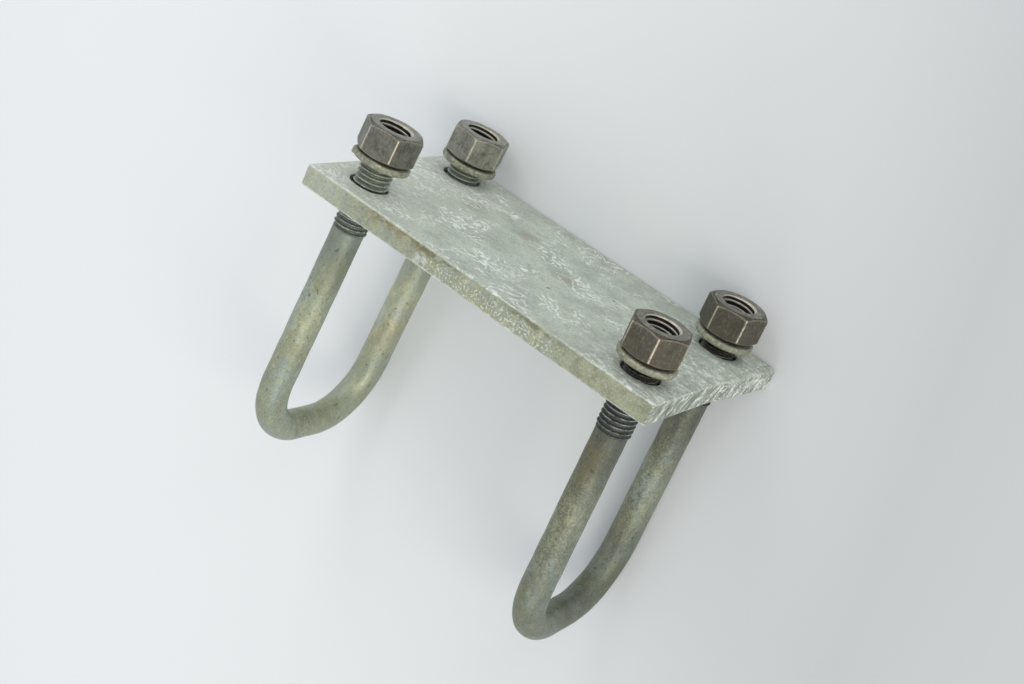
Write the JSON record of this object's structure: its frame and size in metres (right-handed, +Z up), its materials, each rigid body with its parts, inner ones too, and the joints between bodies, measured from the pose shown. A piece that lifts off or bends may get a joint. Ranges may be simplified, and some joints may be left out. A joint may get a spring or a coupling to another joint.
{
  "type": "u-bolt clamp",
  "caption": "Flat galvanised plate with a pair of bent round rods through it, threaded and held by dark hexagon nuts over spring washers, for clamping a bar or sign rail to a post.",
  "frame": {"origin": "on the table under the middle of the clamp as it lies on its side: on the lower long edge of the plate and the bend of the right U-bolt", "axes": "+X along the plate towards its crooked end, +Y horizontally from the bends towards the nuts, +Z up"},
  "size_m": [0.1934, 0.1728, 0.1153],
  "materials": {
    "plate_zinc": "weathered hot-dip zinc, matt",
    "rod_zinc": "mottled hot-dip zinc, satin",
    "washer_zinc": "cream-grey zinc, satin",
    "dark_steel": "plain dark steel, worn bright at the edges"
  },
  "bodies": {
    "plate_and_u_bolts": {"clamp_plate": "plate_zinc", "u_bolt_left": "rod_zinc", "u_bolt_right": "rod_zinc"},
    "washer_upper_left": {"spring_washer_upper_left": "washer_zinc"},
    "nut_upper_left": {"hex_nut_upper_left": "dark_steel"},
    "washer_lower_left": {"spring_washer_lower_left": "washer_zinc"},
    "nut_lower_left": {"hex_nut_lower_left": "dark_steel"},
    "washer_upper_right": {"spring_washer_upper_right": "washer_zinc"},
    "nut_upper_right": {"hex_nut_upper_right": "dark_steel"},
    "washer_lower_right": {"spring_washer_lower_right": "washer_zinc"},
    "nut_lower_right": {"hex_nut_lower_right": "dark_steel"}
  },
  "joints": [
    {"name": "travel_upper_left", "type": "slide", "parent": "plate_and_u_bolts", "child": "washer_upper_left", "axis": [0.0131, 0.998, 0.0621], "range_m": [-0.0089, 0.00248]},
    {"name": "turn_upper_left", "type": "hinge", "parent": "washer_upper_left", "child": "nut_upper_left", "pos_m": [-0.0765, 0.06966, 0.09563], "axis": [0.0131, 0.998, 0.0621], "range_deg": [-1385, 385]},
    {"name": "travel_lower_left", "type": "slide", "parent": "plate_and_u_bolts", "child": "washer_lower_left", "axis": [0.0131, 0.998, 0.0621], "range_m": [-0.00453, 0.00508]},
    {"name": "turn_lower_left", "type": "hinge", "parent": "washer_lower_left", "child": "nut_lower_left", "pos_m": [-0.07655, 0.07172, 0.02062], "axis": [0.0131, 0.998, 0.0621], "range_deg": [-705, 790]},
    {"name": "travel_upper_right", "type": "slide", "parent": "plate_and_u_bolts", "child": "washer_upper_right", "axis": [-0.0201, 0.9925, 0.1203], "range_m": [-0.00322, 0.00267]},
    {"name": "turn_upper_right", "type": "hinge", "parent": "washer_upper_right", "child": "nut_upper_right", "pos_m": [0.07397, 0.0641, 0.09617], "axis": [-0.0201, 0.9925, 0.1203], "range_deg": [-500, 415]},
    {"name": "travel_lower_right", "type": "slide", "parent": "plate_and_u_bolts", "child": "washer_lower_right", "axis": [-0.0201, 0.9925, 0.1203], "range_m": [-0.00354, 0.00498]},
    {"name": "turn_lower_right", "type": "hinge", "parent": "washer_lower_right", "child": "nut_lower_right", "pos_m": [0.07396, 0.07084, 0.02144], "axis": [-0.0201, 0.9925, 0.1203], "range_deg": [-550, 775]}
  ],
  "couplings": [
    {"joint": "travel_upper_left", "follows": "turn_upper_left", "m_per_rad": 0.00036765},
    {"joint": "travel_lower_left", "follows": "turn_lower_left", "m_per_rad": 0.00036765},
    {"joint": "travel_upper_right", "follows": "turn_upper_right", "m_per_rad": 0.00036765},
    {"joint": "travel_lower_right", "follows": "turn_lower_right", "m_per_rad": 0.00036765}
  ]
}
